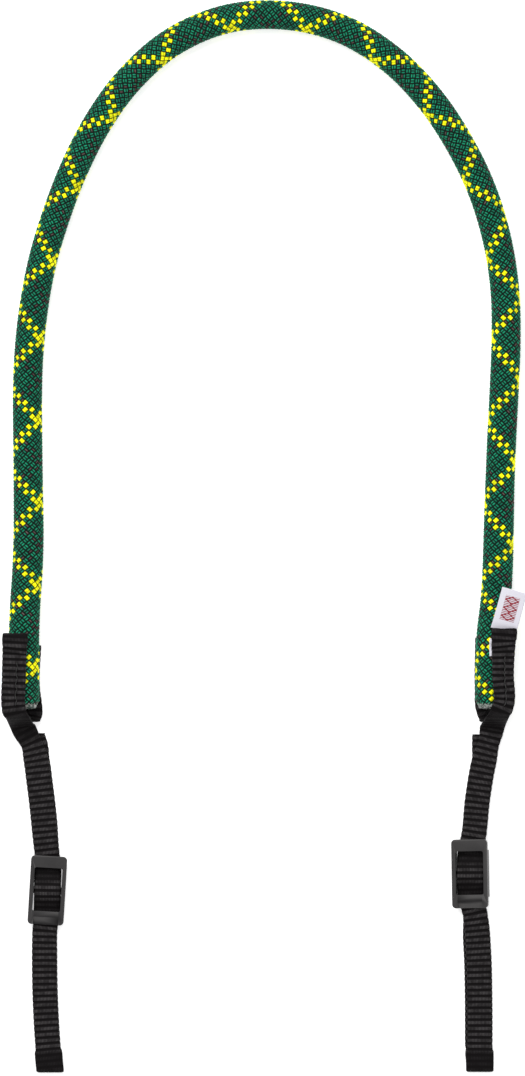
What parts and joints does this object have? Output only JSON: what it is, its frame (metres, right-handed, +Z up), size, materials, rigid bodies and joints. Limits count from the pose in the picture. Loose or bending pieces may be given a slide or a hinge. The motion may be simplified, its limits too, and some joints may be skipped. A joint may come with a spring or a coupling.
{
  "type": "rope camera strap",
  "caption": "Braided rope neck strap; both ends are sewn into flat webbing straps that pass through sliding buckles and end in flat loops for a camera's eyelets.",
  "frame": {"origin": "centre of the strap's outline, on the surface that it lies on", "axes": "+Y towards the crown of the rope, +Z up from that surface, +X to the right"},
  "size_m": [0.1924, 0.3932, 0.0157],
  "materials": {
    "rope_braid": "braided polyamide, green with yellow tracers",
    "rope_core": "twisted white yarn",
    "melted_end": "melted yarn ends",
    "webbing": "ribbed black webbing",
    "thread": "black sewing thread",
    "buckle": "moulded, finely grained",
    "label": "woven satin tape with a plain red motif"
  },
  "bodies": {
    "root": {"rope_sheath": "rope_braid", "core_strand_1": "rope_core", "core_strand_2": "rope_core", "core_strand_3": "rope_core", "core_strand_4": "rope_core", "core_strand_5": "rope_core", "core_strand_6": "rope_core", "core_strand_7": "rope_core", "left_rope_end_seal": "melted_end", "right_rope_end_seal": "melted_end", "left_front_ply": "webbing", "right_front_ply": "webbing", "left_back_ply": "webbing", "right_back_ply": "webbing", "left_sleeve_stitching": "thread", "right_sleeve_stitching": "thread"},
    "left_strap": {"left_strap_webbing": "webbing"},
    "left_slider": {"left_buckle": "buckle"},
    "right_strap": {"right_strap_webbing": "webbing"},
    "right_slider": {"right_buckle": "buckle"},
    "label": {"woven_label": "label"}
  },
  "joints": [
    {"name": "left_strap_bend", "type": "hinge", "parent": "root", "child": "left_strap", "pos_m": [-0.08723, -0.0724, 0.00195], "axis": [-1, 0, 0], "range_deg": [-90, 90]},
    {"name": "left_buckle_slide", "type": "slide", "parent": "left_strap", "child": "left_slider", "axis": [0.0593, 0.9982, 0], "range_m": [-0.02, 0.015], "deforming": ["left_strap_webbing"]},
    {"name": "right_strap_bend", "type": "hinge", "parent": "root", "child": "right_strap", "pos_m": [0.08302, -0.0724, 0.00195], "axis": [-1, 0, 0], "range_deg": [-90, 90]},
    {"name": "right_buckle_slide", "type": "slide", "parent": "right_strap", "child": "right_slider", "axis": [-0.0174, 0.9998, 0], "range_m": [-0.02, 0.015], "deforming": ["right_strap_webbing"]},
    {"name": "label_flap", "type": "hinge", "parent": "root", "child": "label", "pos_m": [0.08817, -0.0319, 0.01236], "axis": [0.9513, -0.2588, -0.1677], "range_deg": [0, 80], "stiffness_Nm_per_rad": 0.00005}
  ]
}
